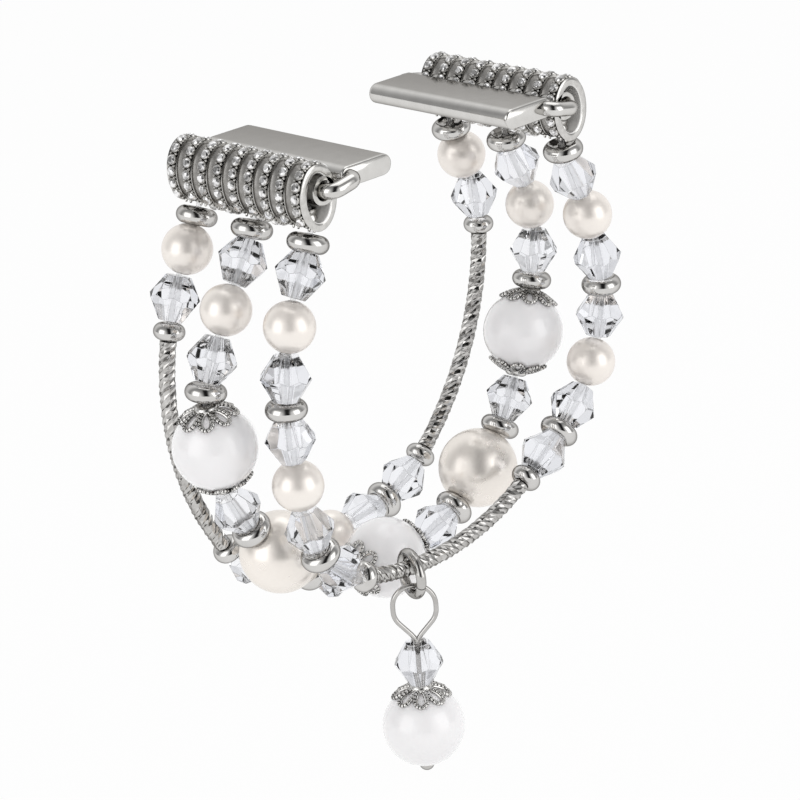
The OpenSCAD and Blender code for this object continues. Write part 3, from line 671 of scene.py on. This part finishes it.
# ---------------------------------------------------------------- the strands
ENDS, THREE = ("left", "right"), ("left", "middle", "right")
caps = Shape()
for strand, (beads, y, tube) in STRANDS.items():
    count, spacers = {}, Shape()
    for bead in beads:
        kind, at = bead["kind"], middle(bead, y)
        i = count[kind] = count.get(kind, 0) + 1
        if kind == "spacer":
            spacers.add(spacer_bead(SPACER_D, SPACER_LEN, DISH_D), at)
        elif kind == "small":
            spacers.add(spacer_bead(SMALL_D, SMALL_LEN, SMALL_D - SMALL_LEN), at)
        elif kind == "crystal":
            name = "crystal_%s_%d" % (strand, i)
            piece("cut_" + name, name, crystal_at(middle(bead, y, (i - 1) * CRYSTAL_TWIST)), crystal_mats,
                  [name], 0)
        elif kind == "pearl":
            name = "pearl_%s_%d" % (strand, i)
            piece("coated_" + name, name, Shape().add(round_bead(PEARL_D, 48, 36), at), [pearl_mat],
                  [name])
        elif kind == "big_pearl":
            name = "big_pearl_" + ENDS[i - 1]
            piece("coated_" + name, name, Shape().add(round_bead(BIG_PEARL_D, 64, 48), at), [big_pearl_mat],
                  [name])
        elif kind == "ball":
            name = "cats_eye_" + THREE[i - 1]
            piece("milky_" + name, name, Shape().add(round_bead(BALL_D, 64, 48), at), [milk],
                  [name])
            for flip in (0, 180):
                add_cap(caps, at @ Matrix.Rotation(R(flip), 4, "X"))
        elif kind == "tube":
            name = "tube_near" if strand == "near" else "tube_far_" + ENDS[i - 1]
            piece("cut_" + name, "band", cut_tube(bead, y, tube), [cut, painted_dark_reflection], [name], 0)
    piece("turned_spacers_" + strand, "band", spacers, [silver], ["spacers_" + strand], 50)
piece("petal_caps", "band", caps, [milled, shade], ["bead_caps"], 50)

# ---------------------------------------------------------------- the elastic and the crimps on its ends
bail_z = -HANG_DROP + HANG_GAP + BAIL_H / 2
channel_a, channel_b = BAIL_W / 2 - RIB_RISE, BAIL_H / 2 - RIB_RISE
seat_z = bail_z - channel_b + BAIL_WALL  # the bail's inner face, where the crimps rest


def cord_line(beads, y, tube):
    """One smooth line through a strand, up into both bails, without points that crowd."""
    top = seat_z + CRIMP_LEN + CORD_TAIL
    pts = [Vector((-BAIL_SPAN / 2, y, top - k * (top + HANG_DROP) / 5)) for k in range(6)]
    for bead in beads:
        if bead["kind"] == "tube":
            pts += bent(bead, y, tube, 24)
        else:
            pts += [at_depth(q, y) for q in (bead["entry"], (bead["entry"] + bead["exit"]) / 2, bead["exit"])]
    pts += [Vector((BAIL_SPAN / 2, y, -HANG_DROP + k * (top + HANG_DROP) / 5)) for k in range(6)]
    line = [pts[0]]
    for q in pts[1:]:
        if (q - line[-1]).length > 0.25:
            line.append(q)
    line[-1] = pts[-1]
    return line


def crimp():
    """A short sleeve, pinched in its middle."""
    ro, ri = CRIMP_D / 2, CORD_D / 2 + CRIMP_PLAY
    return lathe([(ri, 0), (ri + 0.1, 0), (ro - 0.12, 0), (ro, 0.14), (ro - 0.06, 0.5), (ro - 0.22, 0.8),
                  (ro - 0.06, 1.1), (ro, CRIMP_LEN - 0.14), (ro - 0.12, CRIMP_LEN), (ri, CRIMP_LEN)], 24)


cords, crimps = Shape(), Shape()
for beads, y, tube in STRANDS.values():
    cords.add(sweep(cord_line(beads, y, tube), lambda i: circle(CORD_D / 2, 12), side=(0, 1, 0)))
    for side in (-1, 1):
        crimps.add(crimp(), moved(side * BAIL_SPAN / 2, y, seat_z))
piece("elastic_lines", "band", cords, [cord_mat], ["elastic_cords"], 60)
piece("pinched_crimps", "band", crimps, [nickel], ["cord_crimps"], 40)

# ---------------------------------------------------------------- the bails and their stones
ROWS = [(j - (STONE_ROWS - 1) / 2) * ROW_PITCH for j in range(STONE_ROWS)]
CHANNEL, CAST, SEAT, PAINTED_LIGHT_INSIDE = range(4)  # the bail's materials, in the order that its piece has them. SEAT's near-black is painted shade, and the inside's pale colour is painted light.


def oval(a, b, n, i):
    """The i-th of n points round an ellipse, spread evenly, with none at its lowest point."""
    e = (b - a) / (b + a) * 90 / math.pi
    p = -90 + (i - 0.5) * 360 / n
    t = R(p - e * math.sin(R(2 * p)))
    return a * math.cos(t), b * math.sin(t)


def bail_stops():
    """Rings along the bail and back inside it: y, height over its channels, the next band's material."""
    half, w = BAIL_LEN / 2, RIB_W / 2
    ribs = []
    for y in ROWS:
        lo, hi = y - w, y + w
        # the SEAT bands across each rib take the near-black material: painted shade that shows as dark
        # scallops between the stone collars
        ribs += [(lo, 0.06, CAST), (lo + 0.02, 0.3, CAST), (lo + 0.07, 0.35, CAST), (lo + 0.13, 0.3, SEAT),
                 (lo + 0.15, 0.12, SEAT), (lo + 0.34, 0.2, SEAT), (hi - 0.34, 0.2, SEAT),
                 (hi - 0.15, 0.12, SEAT), (hi - 0.13, 0.3, CAST), (hi - 0.07, 0.35, CAST),
                 (hi - 0.02, 0.3, CAST), (hi, 0.06, CHANNEL)]
        if y != ROWS[-1]:
            ribs += [(hi + 0.2, 0.01, CHANNEL), (y + ROW_PITCH / 2, -0.03, CHANNEL),
                     (y + ROW_PITCH - w - 0.2, 0.01, CHANNEL)]
    first = [(-half, RIB_RISE - 0.1, CAST), (-half + 0.08, RIB_RISE, CAST)]
    last = [(half - 0.08, RIB_RISE, CAST), (half, RIB_RISE - 0.1, CAST)]
    # the inside takes the pale material: painted light, standing in for light that comes through the bail's
    # open ends
    inside = [(half, 0.12 - BAIL_WALL, PAINTED_LIGHT_INSIDE), (half - 0.1, -BAIL_WALL, PAINTED_LIGHT_INSIDE), (0, -BAIL_WALL, PAINTED_LIGHT_INSIDE),
              (-half + 0.1, -BAIL_WALL, PAINTED_LIGHT_INSIDE), (-half, 0.12 - BAIL_WALL, CAST)]
    return first + ribs[1:-1] + last + inside


def bail_shell(at):
    """The hollow oval bar, ribbed outside and plain inside."""
    n = 96
    ring = [oval(channel_a, channel_b, n, i) for i in range(n)]
    normal = [Vector((x / channel_a ** 2, z / channel_b ** 2)).normalized() for x, z in ring]
    verts, faces, mats, stops = [], [], [], bail_stops()
    for i, (y, h, mat) in enumerate(stops):
        j = (i + 1) % len(stops)
        verts += [(x + v.x * h, y, z + v.y * h) for (x, z), v in zip(ring, normal)]
        faces += [(i * n + k, i * n + (k + 1) % n, j * n + (k + 1) % n, j * n + k) for k in range(n)]
        mats += [mat] * n
    return Shape().add((verts, faces), at, mats)


def hinge_barrel():
    """The tube on top of the bail that the bow runs through, its mouths widened."""
    half, pin = BAIL_LEN / 2, BOW_D / 2
    ri, ro = pin + 0.28, pin + HINGE_PLAY + BARREL_WALL
    return lathe([(ri, -half + 0.08), (ri + 0.08, -half), (ro - 0.1, -half), (ro, -half + 0.1),
                  (ro, half - 0.1), (ro - 0.1, half), (ri + 0.08, half), (ri, half - 0.08),
                  (pin + 0.06, half - 1.6), (pin + 0.06, -half + 1.6)], 40)


def round_stone():
    """A stone with a table of eight sides, eight slanted facets round it and a girdle of sixteen sides."""
    rings = ((8, 0, STONE_TABLE / 2 + 0.04, 0.48), (8, 22.5, 0.53, 0.385), (16, 0, STONE_D / 2, 0.21),
             (16, 0, STONE_D / 2, 0.08))
    verts = [(r * math.cos(R(360 / n * k + turn)), r * math.sin(R(360 / n * k + turn)), z)
             for n, turn, r, z in rings for k in range(n)]
    table, facets, girdle, under = 0, 8, 16, 32  # where each ring starts
    faces = [tuple(range(table, facets)), tuple(range(len(verts) - 1, under - 1, -1))]
    for k in range(8):
        at, on = facets + k, girdle + 2 * k
        faces += [(k, at, (k + 1) % 8), (facets + (k - 1) % 8, on, at, k), (at, on, on + 1),
                  (at, on + 1, girdle + (2 * k + 2) % 16)]
    for k in range(16):
        q = (k + 1) % 16
        faces.append((girdle + k, under + k, under + q, girdle + q))
    return verts, faces


def stone_seats():
    """Round the bail: the middle and the lean of each stone's flat, and the corner after it."""
    corners = [oval(BAIL_W / 2, BAIL_H / 2, STONES_ROUND, i) for i in range(STONES_ROUND)]
    seats = []
    for p, q in zip(corners, corners[1:] + corners[:1]):
        lean = math.degrees(math.atan2(p[0] - q[0], q[1] - p[1]))
        seats.append(((p[0] + q[0]) / 2, (p[1] + q[1]) / 2, lean, q))
    return seats


def bail(side):
    at = Matrix.Translation((side * BAIL_SPAN / 2, 0, bail_z))
    shell, stones, stone = bail_shell(at), Shape(), round_stone()
    shell.add(hinge_barrel(), at @ Matrix.Translation((-side * BARREL_IN, 0, BARREL_RISE))
              @ Matrix.Rotation(R(90), 4, "X"), CAST)
    collar = lathe([(0.6, -0.3), (0.74, -0.3), (0.75, 0.08), (0.735, 0.24), (0.69, 0.29), (0.645, 0.24)], 18)
    prong = lathe([(0, 0.235), (0.10, 0.215), (0.17, 0.13), (0.19, 0.0), (0.19, -0.2), (0, -0.2)], 8)
    for y in ROWS:
        over_cord = min(abs(y - s[1]) for s in STRANDS.values()) < SPACER_D / 2
        for i, (x, z, lean, corner) in enumerate(stone_seats()):
            # the lowest three places stay bare where a strand's first spacer comes up to the bail
            if not (over_cord and i in (0, 1, STONES_ROUND - 1)):
                base = at @ facing(lean, x, y, z)
                shell.add(collar, base, CAST)
                stones.add(stone, base @ Matrix.Rotation(R(37 * i + 11 * y), 4, "Z"))
            v = Vector((corner[0] / BAIL_W ** 2, corner[1] / BAIL_H ** 2)).normalized()
            tilt = math.degrees(math.atan2(v.y, v.x))
            for s in (-1, 1):
                place = facing(tilt, corner[0] - v.x * 0.02, y + s * 0.47, corner[1] - v.y * 0.02)
                shell.add(prong, at @ place, CAST)
    return shell, stones


def slider(side):
    """A flat tongue with round long edges, its ends eased."""
    half, r, w = SLIDER_LEN / 2, SLIDER_T / 2, SLIDER_W / 2
    stations = [(-half, 0.22), (-half + 0.05, 0.1), (-half + 0.2, 0.02), (-half + 0.5, 0.0), (0, 0),
                (half - 0.5, 0), (half - 0.2, 0.02), (half - 0.05, 0.1), (half, 0.22)]

    def tongue(i):
        e, edge = stations[i][1], range(-90, 91, 12)
        return ([(w - r + (r - e) * math.cos(R(a)), (r - e) * math.sin(R(a))) for a in edge]
                + [(-(w - r) - (r - e) * math.cos(R(a)), -(r - e) * math.sin(R(a))) for a in edge])

    path = [Vector((side * (SLIDER_SPAN - SLIDER_W) / 2, y, 0)) for y, _ in stations]
    return Shape().add(sweep(path, tongue, side=(1, 0, 0)))


def hinge_bow(side):
    """One bent wire, through the barrel and back into the slider's sockets."""
    barrel_x, barrel_z = BAIL_SPAN / 2 - BARREL_IN, bail_z + BARREL_RISE
    socket_x = SLIDER_SPAN / 2 - SOCKET_IN
    reach = math.hypot(barrel_x - socket_x, barrel_z)
    lift = math.atan2(-barrel_z, barrel_x - socket_x)
    out_y = BAIL_LEN / 2 + BOW_GAP + BOW_BEND
    tip = out_y - BOW_BEND - SLIDER_LEN / 2 + SOCKET_DEPTH
    half = [(reach, out_y - BOW_BEND - tip), (reach, out_y - BOW_BEND)]
    half += arc(reach - BOW_BEND, out_y - BOW_BEND, BOW_BEND, 0, 90, 10)[1:] + [(reach / 2, out_y)]
    half += arc(BOW_BEND, out_y - BOW_BEND, BOW_BEND, 90, 180, 10) + [(0, 7), (0, 3.5)]
    flat = half + [(0, 0)] + [(x, -y) for x, y in half[::-1]]
    path = [Vector((side * (barrel_x - x * math.cos(lift)), y, barrel_z + x * math.sin(lift)))
            for x, y in flat]
    return Shape().add(sweep(path, lambda i: circle(BOW_D / 2 - BOW_EASE, 28), side=(0, 0, 1)))


for side, word in ((-1, "left"), (1, "right")):
    shell, stones = bail(side)
    piece("ribbed_bail_" + word, "band", shell, [channel, cast, shade, painted_light_inside],
          ["bail_" + word], 40)
    piece("cut_stones_" + word, "band", stones, [stone_mat], ["rhinestones_" + word], 0)
    piece("polished_slider_" + word, "adapter_" + word, slider(side), [nickel],
          ["lug_slider_" + word], 40)
    piece("bent_bow_" + word, "adapter_" + word, hinge_bow(side), [nickel],
          ["hinge_bow_" + word], 40)

# ---------------------------------------------------------------- the charm
near_tube = NEAR[len(NEAR) // 2]
lean = near_tube["a0"] + CHARM_PLACE * (near_tube["a1"] - near_tube["a0"])
hook = near_tube["entry"] + chord(CHARM_PLACE * NEAR_TUBE, near_tube["a0"], lean)
ring_r, eye_r = (RING_IN + RING_WIRE) / 2, (EYE_W - PIN_WIRE) / 2
ring_z = hook.y + TUBE_D / 2 + CHARM_GAP - RING_IN / 2
eye_z = ring_z - RING_IN / 2 + CHARM_GAP + PIN_WIRE / 2 - eye_r
legs_z = eye_z - EYE_SIDE - EYE_DROP
charm_crystal_z = legs_z - KNOT_D / 2 - PIN_GAP - CRYSTAL_LEN / 2
charm_ball_z = charm_crystal_z - CRYSTAL_LEN / 2 - PIN_GAP - CAP_T - BALL_D / 2
head_z = charm_ball_z - BALL_D / 2 - PIN_GAP


def charm_at(z, turn=0.0):
    return moved(hook.x, -STRAND_PITCH, z, turn)


def jump_ring():
    """A round ring, split at its seam, where the wire's ends are eased."""
    n, open_by = 90, 2 * SEAM_GAP
    turns = [R(RING_SEAM + SEAM_GAP + (360 - open_by) * k / n) for k in range(n + 1)]
    path = [Vector((0, ring_r * math.cos(a), ring_r * math.sin(a))) for a in turns]
    loop = sweep(path, lambda i: circle(RING_WIRE / 2 * (0.9 if i in (0, n) else 1), 24), side=(1, 0, 0))
    return Shape().add(loop, charm_at(ring_z, RING_TURN))


def eye_pin():
    """A wire eye with long sides, its legs together in the shaft, and the flattened head at the foot."""
    leg_angle = math.degrees(math.acos(eye_r / EYE_DROP))
    right = [(eye_r * math.cos(R(a)), eye_z + eye_r * math.sin(R(a))) for a in range(90, -1, -6)]
    right += [(eye_r * math.cos(R(a)), eye_z - EYE_SIDE + eye_r * math.sin(R(a)))
              for a in range(0, int(leg_angle) - 90, -6)]
    x0, z0 = right[-1]
    right += [(x0 + (LEG_GAP - x0) * k / 5, z0 + (legs_z + 0.12 - z0) * k / 5) for k in range(1, 5)]
    right += [(LEG_GAP + 0.06, legs_z + 0.1), (LEG_GAP, legs_z - 0.3)]
    wire = [Vector((-x, 0, z)) for x, z in right[:0:-1]] + [Vector((x, 0, z)) for x, z in right]
    r = PIN_WIRE / 2
    shaft = [(0, legs_z + 0.2), (0.24, legs_z + 0.12), (r, legs_z - 0.15), (r, legs_z - 3), (r, head_z + 0.4),
             (0.42, head_z + 0.06), (HEAD_D / 2 - 0.1, head_z)] + arc(0, head_z, HEAD_D / 2, 0, -90, 12)
    shape = Shape().add(sweep(wire, lambda i: circle(r, 18), side=(0, 1, 0)), charm_at(0, EYE_TURN))
    return shape.add(lathe(shaft, 28, False), charm_at(0, EYE_TURN))


piece("split_jump_ring", "jump_ring", jump_ring(), [wire_metal], ["jump_ring"], 50)
piece("bent_eye_pin", "eye_pin", eye_pin(), [wire_metal], ["eye_pin"], 50)
piece("cut_charm_crystal", "charm_crystal", crystal_at(charm_at(charm_crystal_z)), crystal_mats,
      ["charm_crystal"], 0)
piece("petal_charm_cap", "charm_cap", add_cap(Shape(), charm_at(charm_ball_z)), [milled, shade],
      ["charm_cap"], 50)
piece("milky_charm_ball", "charm_ball",
      Shape().add(round_bead(BALL_D - CHARM_EASE, 64, 48), charm_at(charm_ball_z)), [milk],
      ["charm_ball"])

# ---------------------------------------------------------------- camera, at the photograph's viewing angle
# degrees round and up, mm from what it looks at, focal length in px, roll in degrees, mm aside and up
AZ, EL, DIST, FOCAL, ROLL, SIDE_MM, UP_MM = 42.86, 20.47, 451.3, 3225.8, -4.62, -0.17, 5.12
AIM_Z, SENSOR, FRAME_PX = -28, 36, 800
back = Vector((-math.sin(R(AZ)) * math.cos(R(EL)), -math.cos(R(AZ)) * math.cos(R(EL)), math.sin(R(EL))))
across = Vector((math.cos(R(AZ)), -math.sin(R(AZ)), 0))
upward = across.cross(-back)
cam_x = across * math.cos(R(ROLL)) + upward * math.sin(R(ROLL))
cam_y = -across * math.sin(R(ROLL)) + upward * math.cos(R(ROLL))
place = Vector((0, 0, AIM_Z - HANG_DROP)) + back * DIST - cam_x * SIDE_MM - cam_y * UP_MM
cam = bpy.data.objects.new("camera", bpy.data.cameras.new("camera"))
cam.data.sensor_width = SENSOR
cam.data.lens = FOCAL * SENSOR / FRAME_PX
cam.data.clip_start, cam.data.clip_end = 0.01, 20
cam.matrix_world = Matrix((
    (cam_x.x, cam_y.x, back.x, place.x * MM), (cam_x.y, cam_y.y, back.y, place.y * MM),
    (cam_x.z, cam_y.z, back.z, place.z * MM), (0, 0, 0, 1)))
bpy.context.scene.collection.objects.link(cam)
bpy.context.scene.camera = cam

# ---------------------------------------------------------------- studio light, in m and W
flat_back = Vector((back.x, back.y, 0)).normalized()
LIT = Vector((0, 0, -0.04))  # what the lamps point at


def softbox(name, turn, height, dist, wide, tall, watts):
    """An area lamp, turned round from the camera's side and raised by height, both in degrees."""
    lamp = bpy.data.lights.new(name, "AREA")
    lamp.shape, lamp.size, lamp.size_y, lamp.energy = "RECTANGLE", wide, tall, watts
    o = bpy.data.objects.new(name, lamp)
    d = flat_back * math.cos(R(turn)) + across * math.sin(R(turn))
    o.location = (d * math.cos(R(height)) + Vector((0, 0, math.sin(R(height))))) * dist + LIT
    o.rotation_mode = "QUATERNION"
    o.rotation_quaternion = (LIT - o.location).to_track_quat("-Z", "Y")
    bpy.context.scene.collection.objects.link(o)


softbox("left_softbox", -54, 18, 0.75, 0.5, 0.62, 0.75)
softbox("right_softbox", 58, 16, 0.75, 0.46, 0.62, 0.9)
softbox("top_softbox", 150, 72, 0.8, 0.6, 0.6, 1.0)


# ---------------------------------------------------------------- a pale floor, seen as white
def mixed(n, fac, a, b):
    """The shader b where fac is 1, and a where it is 0."""
    return n.new("ShaderNodeMixShader", {0: fac, 1: a, 2: b}).outputs[0]


FLOOR_Z, FLOOR_HALF, FLOOR_GLOW = -0.135, 3, 0.93
corners = [(x * FLOOR_HALF, y * FLOOR_HALF, FLOOR_Z) for x, y in ((-1, -1), (1, -1), (1, 1), (-1, 1))]
floor_mesh = bpy.data.meshes.new("floor")
floor_mesh.from_pydata(corners, [], [(0, 1, 2, 3)])
floor = bpy.data.objects.new("floor", floor_mesh)
bpy.context.scene.collection.objects.link(floor)
white, n, s = material("pale_floor", (0.86, 0.86, 0.86), 0.9)
ray = n.new("ShaderNodeLightPath").outputs
seen = n.math("MAXIMUM", ray["Is Camera Ray"], ray["Is Glossy Ray"])
seen = n.math("MULTIPLY", n.math("MAXIMUM", seen, ray["Is Transmission Ray"]), FLOOR_GLOW)
glow = n.new("ShaderNodeEmission", {"Color": (1, 1, 1, 1), "Strength": 1.0}).outputs[0]
n.t.links.new(mixed(n, seen, s.outputs[0], glow), n.surface)
floor_mesh.materials.append(white)

# ---------------------------------------------------------------- world
# Metal sees the white background behind the object, two broad glows, and a dark gap between them behind the
# camera. Glass sees white, with greyer walls to its sides.
WORLD_LIGHT = 0.78
world = bpy.data.worlds.new("studio")
bpy.context.scene.world = world
world.use_nodes = True
world.node_tree.nodes.clear()
n = Nodes(world.node_tree)
heading = n.new("ShaderNodeTexCoord").outputs["Generated"]


def toward(v):
    """How far a ray heads along v, from -1 to 1."""
    return n.new("ShaderNodeVectorMath", {0: heading, 1: tuple(v)}, operation="DOT_PRODUCT").outputs["Value"]


def ease(value, lo, hi, to_lo, to_hi):
    """Maps lo..hi to to_lo..to_hi with soft ends."""
    return n.new("ShaderNodeMapRange", {"Value": value, "From Min": lo, "From Max": hi, "To Min": to_lo,
                                        "To Max": to_hi}, interpolation_type="SMOOTHSTEP").outputs[0]


def off(value, centre):
    return n.math("ABSOLUTE", n.math("SUBTRACT", value, centre), 0.0)


def sky(strength):
    return n.new("ShaderNodeBackground", {"Color": (1, 1, 1, 1), "Strength": strength}).outputs[0]


front, side_on, up = toward(flat_back), toward(across), toward((0, 0, 1))
room = ease(front, -0.75, 0.05, 0.95, 0.3)
left_glow = ease(off(side_on, -0.72), 0.15, 0.6, 0.75, 0)
right_glow = ease(off(side_on, 0.76), 0.15, 0.6, 0.65, 0)
low = n.math("MULTIPLY", ease(front, -0.1, 0.4, 0, 1), ease(off(up, 0.2), 0.2, 0.8, 1, 0))
glows = n.math("MULTIPLY", n.math("ADD", left_glow, right_glow), low)
gap = n.math("MULTIPLY", ease(off(side_on, 0.09), 0.1, 0.32, 0.96, 0), ease(front, 0.1, 0.4, 0, 1))
level = n.math("MULTIPLY", n.math("ADD", room, glows), n.math("SUBTRACT", 1.0, gap))
walls = n.math("MULTIPLY", ease(off(side_on, 0.0), 0.25, 0.6, 1.0, 0.74), ease(front, 0.2, 0.8, 1.0, 0.72))
ray = n.new("ShaderNodeLightPath").outputs
seen = mixed(n, ray["Is Glossy Ray"], sky(WORLD_LIGHT), sky(level))
seen = mixed(n, ray["Is Transmission Ray"], seen, sky(walls))
seen = mixed(n, ray["Is Camera Ray"], seen, sky(1.0))
n.t.links.new(seen, n.new("ShaderNodeOutputWorld").inputs["Surface"])

bpy.context.scene.view_settings.view_transform = "Standard"
